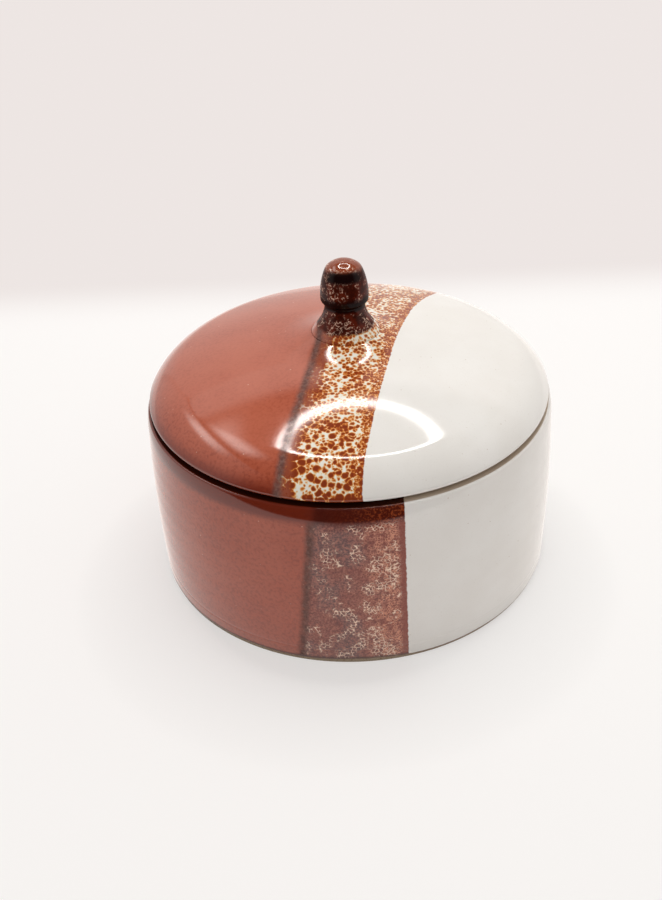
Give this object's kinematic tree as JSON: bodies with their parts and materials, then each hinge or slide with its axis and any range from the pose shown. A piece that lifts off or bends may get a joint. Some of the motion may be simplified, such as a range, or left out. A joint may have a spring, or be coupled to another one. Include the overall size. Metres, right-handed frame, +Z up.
{
  "type": "lidded stoneware pot",
  "caption": "Round, straight-walled glazed stoneware pot with a low domed lift-off lid, a locating ring under the lid and a small acorn-shaped knob.",
  "frame": {"origin": "centre of the foot, on the surface that the pot stands on", "axes": "+Z up along the axis the pot was turned about, -Y towards the front of the glaze bands"},
  "size_m": [0.1922, 0.1922, 0.1509],
  "materials": {
    "pot_glaze": "glossy, iron red, broken speckled band and white",
    "lid_glaze": "glossy, iron red, broken speckled band and white",
    "knob_glaze": "glossy, dark tenmoku brown with pale flecks"
  },
  "bodies": {
    "pot": {"pot_body": "pot_glaze"},
    "cover": {"lid": "lid_glaze", "knob": "knob_glaze"}
  },
  "joints": [
    {"name": "lid_lift", "type": "slide", "parent": "pot", "child": "cover", "axis": [0, 0, 1], "range_m": [0, 0.12]}
  ]
}
